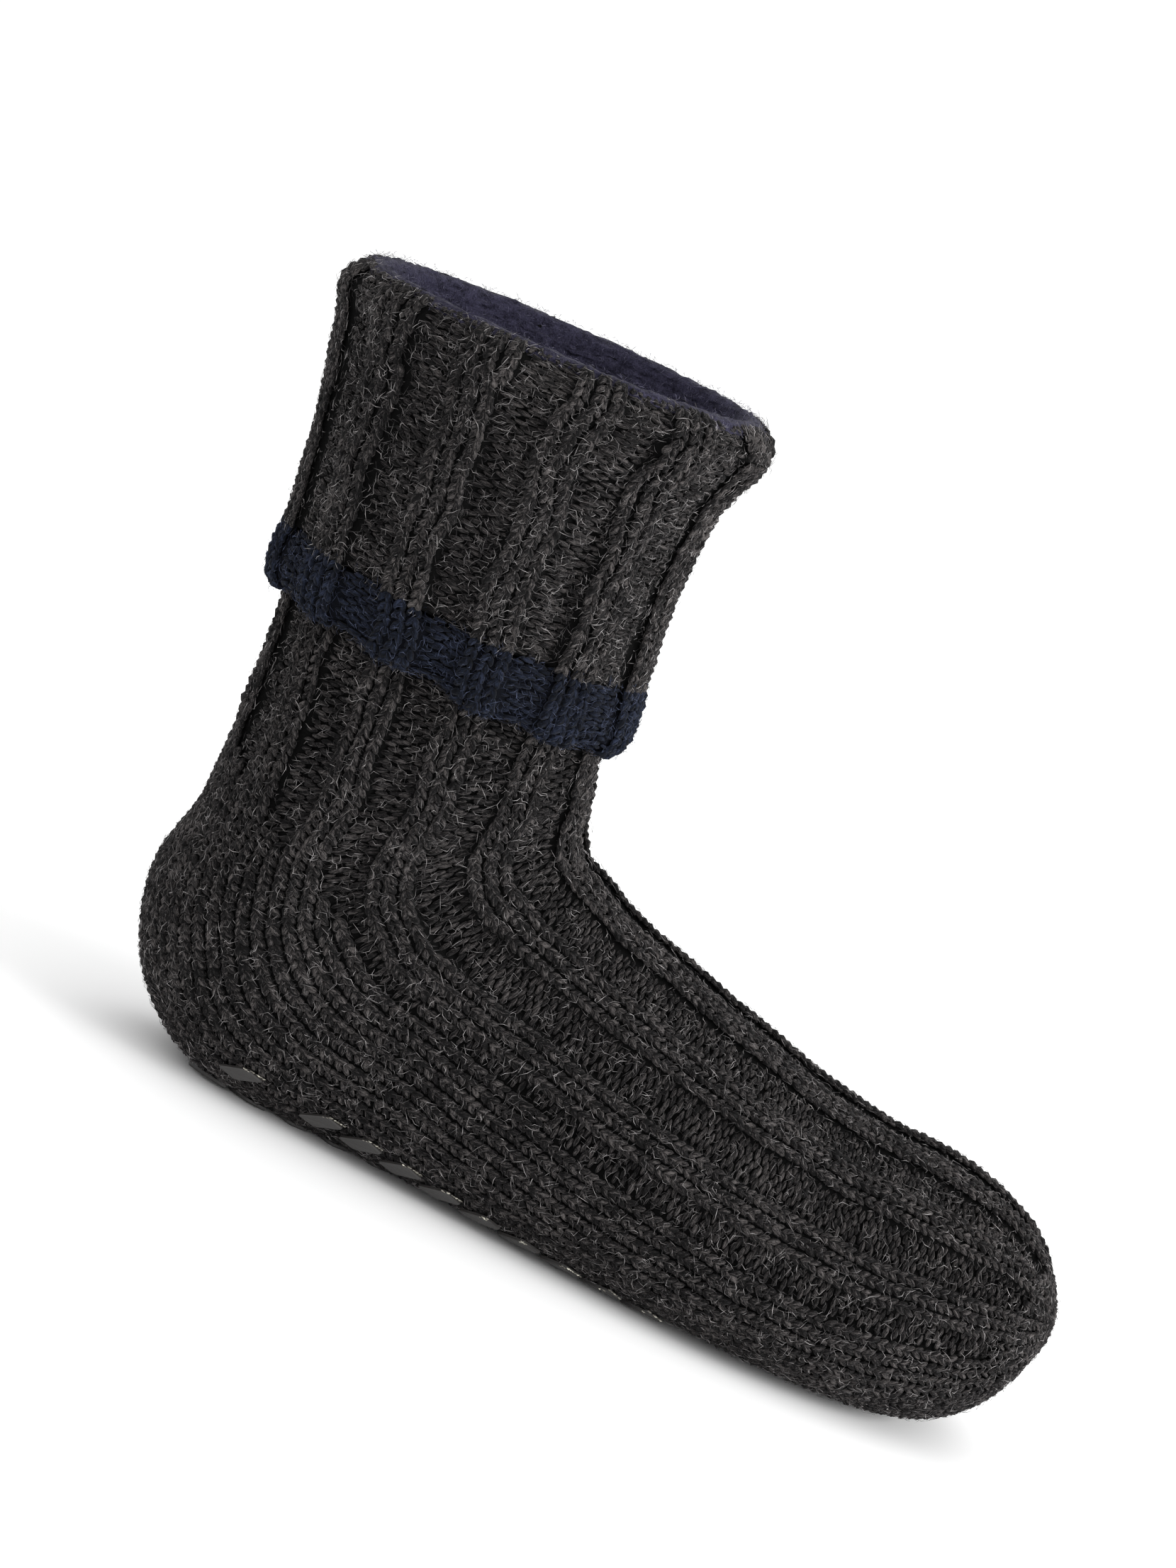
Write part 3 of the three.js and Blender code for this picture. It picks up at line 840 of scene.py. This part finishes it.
# the rows of each part of the knit's body, from the toe over the outside and round to the inside
bodyForm = {
    "toe": [0.5, 1, 1.5, 2, 2.5],
    "outerRows": 70,
    "slotRows": 8,
    "faceRows": 30,
    "innerRows": 40,
    "foldTurns": (10, 165, 10),
}


def bodyRings():
    # the knit's own wall behind the stitches, with the slot under the cuff and room for the lining inside
    count = columns // 4

    def ring(s, height, folds=None):
        return list(skinAt(s, height(s), count, folds)[0])

    def ribbed(base, share=1):
        return lambda s: base - knit["under"] + knit["relief"] * share * ribWave(s, count)

    def flat(base):
        return lambda s: np.full((len(s), count), base)

    form = sockForm
    outside = np.concatenate([bodyForm["toe"], np.linspace(3, slotTop, bodyForm["outerRows"])])
    outer = ring(outside, ribbed(0))
    slot = ring(np.linspace(slotTop, bandTop, bodyForm["slotRows"]), flat(form["cuffGap"]))
    halfway = flat(form["cuffGap"] + form["cuffWall"] / 2)
    edge = ring(np.array([bandTop - 0.04, bandTop - 0.03]), halfway)[:1]
    cuffRibs = ribbed(form["cuffOut"], knit["cuffRelief"])
    face = ring(np.linspace(bandTop, rim, bodyForm["faceRows"]), cuffRibs, "cuff")
    inside = np.linspace(rim, 1.2, bodyForm["innerRows"])
    inner = ring(inside, flat(-form["wall"] + form["liningInside"]))
    ribs = knit["relief"] * knit["cuffRelief"] * ribWave([rim], count)[0]
    turns = np.arange(*bodyForm["foldTurns"])
    fold = [rimFold(turn, ribs * rimFade(turn) - knit["under"], count) for turn in turns]
    return outer + slot + edge + face + fold + inner


# the fleece: degrees round the rim's fold, and millimetres that its pile swells and sinks there
fleecePile = {
    "turns": (64, 180, 7),
    "swellFrom": 60,
    "crest": 84,
    "sinkTo": 180,
    "swell": 1.3,
    "sink": 1.0,
    "base": 0.9,
    "stray": 0.24,
    "backing": 1.9,
    "underCrest": -2.4,
    "backingTurns": (160, 60, -16),
}


def pileRings():
    # fleece from the rim's crest down the inside to the toe, its pile uneven
    count = columns // 2
    pile = fleecePile
    turns = np.arange(*pile["turns"])
    swell = pile["swell"] * softStep(turns, pile["swellFrom"], pile["crest"])
    lifts = swell - pile["sink"] * softStep(turns, pile["crest"], pile["sinkTo"]) - pile["base"]
    crest = [rimFold(turn, lift, count) for turn, lift in zip(turns, lifts)]
    sList = np.concatenate([np.linspace(rim, rim - 5, 56), np.linspace(rim - 5.2, 1.3, 44)])
    rings = np.array(crest + list(skinAt(sList, -sockForm["wall"], count)[0]))
    return rings + rng.normal(0, pile["stray"], rings.shape)


def backingRings():
    # the fleece's own back, inside the knit
    count = columns // 2
    backing = list(skinAt(np.linspace(1.3, rim, 34), -sockForm["wall"] + fleecePile["backing"], count)[0])
    turns = np.arange(*fleecePile["backingTurns"])
    return backing + [rimFold(turn, fleecePile["underCrest"], count) for turn in turns]


# the band's section, round from its top: share of its height, share of its wall, share of its fullness
edgeBand = {
    "relief": 0.85,
    "waveHeight": 0.9,
    "bodyUnder": 0.3,
    "bodyLower": 0.6,
    "underCuff": 0.05,
    "step": 0.02,
    "faceTop": 1.09,
    "faceRows": 28,
    "edgeTurns": (20, 161, 20),
    "section": [
        (1, 0.15, 0),
        (1, 0.8, 0),
        (0.8, 0.95, 0.8),
        (0.35, 0.95, 1),
        (0.05, 0.9, 0.6),
        (-0.09, 0.75, 0.2),
        (-0.12, 0.45, 0),
        (-0.06, 0.15, 0),
        (0.5, 0.0, 0),
    ],
}


def bandRings():
    # the edge band's own body, a soft closed loop hung below the cuff's lower edge
    count = columns // 3
    form = sockForm
    perStation = form["bandHeight"] / (bandTop - cuffEdge)
    top = bandTop - edgeBand["underCuff"] - edgeBand["bodyLower"] / perStation
    step = edgeBand["step"]
    q = np.arange(count) * 2 / count
    rings = []
    for share, out, fullness in edgeBand["section"]:
        s = np.array([mix(cuffEdge, top, share)])
        smooth = skinRings(np.r_[s - step, s, s + step], count)
        normals = gridNormals(smooth)[1]
        along = (smooth[2] - smooth[1]) / step * (bandWave(q) * (1 - share))[:, None]
        height = form["cuffGap"] + form["cuffWall"] * out + form["bandFullness"] * fullness
        rib = ribWave(s, count)[0] * edgeBand["relief"] * knit["relief"] - edgeBand["bodyUnder"]
        rib = (out > 0.5) * rib
        rings.append(smooth[1] + along + normals * (height + rib)[:, None])
    return rings


def bandWave(q):
    # how far the band's lower edge dips, in stations
    perStation = sockForm["bandHeight"] / (bandTop - cuffEdge)
    waves = np.cos(12 * math.pi * q) + 0.6 * np.sin(3 * math.pi * q + 1) + 0.4 * np.sin(7 * math.pi * q)
    return edgeBand["waveHeight"] * waves / perStation


def bandCloth():
    # the band's outer face from its top round its lower edge
    form = sockForm
    dip = bandWave(np.arange(columns) * 2 / columns)
    share = np.linspace(edgeBand["faceTop"], 0.0, edgeBand["faceRows"])
    step = edgeBand["step"]
    rows = []
    for value in share:
        s = mix(cuffEdge, bandTop - edgeBand["underCuff"], value)
        smooth = skinRings(np.array([s - step, s, s + step]))
        normals = gridNormals(smooth)[1]
        along = (smooth[2] - smooth[1]) / step
        full = form["bandFullness"] * math.sin(math.pi * min(max(value, 0), 1)) ** 0.5
        rows.append(smooth[1] + normals * (form["cuffOut"] + full) + along * (dip * (1 - value))[:, None])
    last = rows[-1]
    downward = -(smooth[2] - smooth[1]) / np.linalg.norm(smooth[2] - smooth[1], axis=1, keepdims=True)
    turns = np.radians(np.arange(*edgeBand["edgeTurns"]))
    radius = form["cuffWall"] / 2
    for turn in turns:
        rows.append(last - normals * radius * (1 - math.cos(turn)) + downward * radius * math.sin(turn))
    points = np.array(rows)[::-1]
    fade = np.r_[np.ones(len(share)), np.cos(turns).clip(0)][::-1]
    wave = ribWave(np.array([20.0])) * fade[:, None] * edgeBand["relief"]
    return Cloth(points, gridNormals(points), wave)


grain = modelGrain()
print("grain modelled:", len(grain["verts"]), "vertices")

# rows of cloth from the toe's tip to under the cuff, and the rows where pieces of stitches or fuzz end
footPart = {"rows": 900, "fuzzStart": 20, "toeEnd": 300, "midfootEnd": 520, "last": 899}
footCloth = Cloth.skin(np.linspace(0.0, cuffEdge + 0.7, footPart["rows"]))
cuffCloth = Cloth.cuff()
edgeCloth = bandCloth()
print("cloth laid out")

toeTip = skinRings([0.0])[0, 0]
deep = sockForm["wall"] - sockForm["liningInside"]
poles = [toeTip - np.array([knit["under"], 0, 0]), toeTip - np.array([deep, 0, 0])]
knitBody = dress(extrudeRings("knitBody", bodyRings(), poles), charcoalUnder)
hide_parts("knit_upper")
print("body extruded:", len(knitBody.data.polygons), "faces")

pile = pileRings()
fleece = dress(extrudeRings("fleeceLining", list(pile) + backingRings()), navyFleece)
print("lining extruded:", len(fleece.data.polygons), "faces")

bandBody = dress(extrudeRings("bandBody", bandRings()), navyUnder)
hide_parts("cuff_edge_band")

toeEnd, midfootEnd, lastRow = (footPart[key] for key in ("toeEnd", "midfootEnd", "last"))
cuffRows, bandRows = (0, len(cuffCloth.points) - 1), (0, len(edgeCloth.points) - 1)
footFuzzRows = (footPart["fuzzStart"], lastRow)
regions = [
    ("stitchesToe", footCloth, (1, toeEnd), charcoalYarn, "charcoal_knit"),
    ("stitchesMidfoot", footCloth, (toeEnd, midfootEnd), charcoalYarn, "charcoal_knit"),
    ("stitchesAnkle", footCloth, (midfootEnd, lastRow), charcoalYarn, "charcoal_knit"),
    ("stitchesCuff", cuffCloth, cuffRows, charcoalYarn, "charcoal_knit"),
    ("stitchesBand", edgeCloth, bandRows, navyYarn, "navy_knit"),
]
for name, cloth, rows, material, slotName in regions:
    piece = dress(joinedCopies(name, grain, stitchPlaces(cloth, rows)), material)
    print(name, len(piece.data.polygons) * 3 // 2, "triangles")

fleeceCloth = Cloth(pile, gridNormals(pile), np.zeros(pile.shape[:2]))
# name, cloth, its rows, how many fibres, their length and how far they lift
fuzz = [
    ("fuzzFoot", footCloth, footFuzzRows, 30000, 3.6, 0.9, charcoalFibre, "charcoal_knit"),
    ("fuzzCuff", cuffCloth, cuffRows, 15000, 3.6, 0.6, charcoalFibre, "charcoal_knit"),
    ("fuzzBand", edgeCloth, bandRows, 4500, 3.0, 0.9, navyFibre, "navy_knit"),
    ("fuzzFleece", fleeceCloth, (0, 60), 7000, 2.0, 1.1, fleeceFibre, "navy_fleece"),
]
for name, cloth, rows, count, length, lift, material, slotName in fuzz:
    dress(makeFuzz(name, fuzzPlaces(cloth, rows, count, length, lift)), material)
print("fuzz strewn")

# beads along the upper edge of the side grips, whose light colour is a painted glint where the grips'
# edges catch the light
bead = {
    "perGrip": 9,
    "long": 0.85,
    "thick": 0.42,
    "sizes": (0.6, 1.4),
    "edgeDeep": 1.4,
    "faceDeep": 0.75,
    "lean": (0.8, -0.6),
    "proud": (0.15, 0.2),
    "strayPlace": 0.2,
    "strayTurn": 0.15,
}


def glintBeadPlaces(nodes):
    # a row of painted-glint beads from end to end of each grip's upper edge
    origin, ahead, up = [], [], []
    count = bead["perGrip"]
    for node in nodes:
        corners = np.array([vert.co for vert in node.data.vertices]) * toMillimetres
        corners = corners[corners[:, 2] > corners[:, 2].max() - bead["edgeDeep"]]
        side = np.sign(corners[0, 1])
        out = np.array([0, side * bead["lean"][0], bead["lean"][1]])
        face = corners @ out
        edge = corners[face > face.max() - bead["faceDeep"]]
        edge = edge[np.argsort(edge[:, 0])]
        x = np.linspace(edge[0, 0], edge[-1, 0], count) + rng.normal(0, bead["strayPlace"], count)
        y, z = (np.interp(x, edge[:, 0], edge[:, k]) for k in (1, 2))
        origin.append(np.stack([x, y, z], 1) + (0, side * bead["proud"][0], bead["proud"][1]))
        ahead.append((1.0, 0.0, 0.0) + rng.normal(0, bead["strayTurn"], (count, 3)))
        up.append(np.tile(out, (count, 1)))
    origin, ahead, up = (np.concatenate(rows) for rows in (origin, ahead, up))
    size = np.array([bead["long"], bead["thick"], bead["thick"]])
    size = size * rng.uniform(*bead["sizes"], (len(origin), 1))
    return {"origin": origin, "ahead": ahead, "up": up, "size": size, "tone": rng.random(len(origin))}


sideGrips = []
for nodeName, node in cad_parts.items():
    if nodeName.startswith("grip_"):
        node.data.materials.clear()
        node.data.materials.append(gripRubber)
    if nodeName.startswith("grip_outer_"):
        sideGrips.append(node)
# painted glint: light-coloured beads stand in for highlights on the grips' upper edges
dress(joinedCopies("paintedGlintBeads", grain, glintBeadPlaces(sideGrips)), paintedGripGlint)
print("grips finished:", len(sideGrips), "with beads")

# floor and light: the lamps' places and powers
stage = {
    "floorSize": 60.0,
    "floor": (0.95, 0.95, 0.95),
    "world": 1.1,
    "lampSize": 1.0,
    "aim": (0, 0, 0.08),
    "lamps": {
        "keyLight": ((-0.9, -1.2, 1.3), 2.0),
        "fillLight": ((1.6, -0.5, 0.55), 34.0),
        "backLight": ((0.3, 1.2, 1.4), 4.0),
    },
}


def makeStage():
    deselectAll()
    bpy.ops.mesh.primitive_plane_add(size=stage["floorSize"], location=(0, 0, 0))
    floor = bpy.context.object
    floor.name = "floor"
    finish = Finish("paleFloor")
    finish.set(Base_Color=stage["floor"], Roughness=0.9)
    floor.data.materials.append(finish.material)
    world = bpy.data.worlds.new("studio")
    bpy.context.scene.world = world
    world.use_nodes = True
    world.node_tree.nodes["Background"].inputs["Color"].default_value = (1, 1, 1, 1)
    world.node_tree.nodes["Background"].inputs["Strength"].default_value = stage["world"]
    bpy.context.scene.view_settings.view_transform = "Standard"


def addLight(name, place, power):
    light = bpy.data.lights.new(name, "AREA")
    light.shape = "SQUARE"
    light.size = stage["lampSize"]
    light.energy = power
    lamp = bpy.data.objects.new(name, light)
    lamp.location = place
    lamp.rotation_euler = (Vector(stage["aim"]) - Vector(place)).to_track_quat("-Z", "Y").to_euler()
    bpy.context.scene.collection.objects.link(lamp)


makeStage()
for lampName, (place, power) in stage["lamps"].items():
    addLight(lampName, place, power)

# the photograph's angle to the sock: along +Y, a little from above, rolled so that the sole runs downhill
view = {
    "roll": 26.5,
    "above": 10.4,
    "distance": 1.16,
    "lens": 100.0,
    "sensor": 36,
    "aimX": -0.0305,
    "aimZ": 0.115,
}


def makeCamera():
    camera = bpy.data.objects.new("camera", bpy.data.cameras.new("camera"))
    camera.data.sensor_width = view["sensor"]
    camera.data.lens = view["lens"]
    above, roll = math.radians(view["above"]), math.radians(view["roll"])
    back = Vector((0, -math.cos(above), math.sin(above)))
    level = Vector((1, 0, 0))
    rise = back.cross(level)
    right = level * math.cos(roll) + rise * math.sin(roll)
    top = rise * math.cos(roll) - level * math.sin(roll)
    place = Vector((view["aimX"], 0, view["aimZ"])) + back * view["distance"]
    turned = Matrix((right, top, back)).transposed().to_4x4()
    camera.matrix_world = Matrix.Translation(place) @ turned
    bpy.context.scene.collection.objects.link(camera)
    bpy.context.scene.camera = camera


makeCamera()
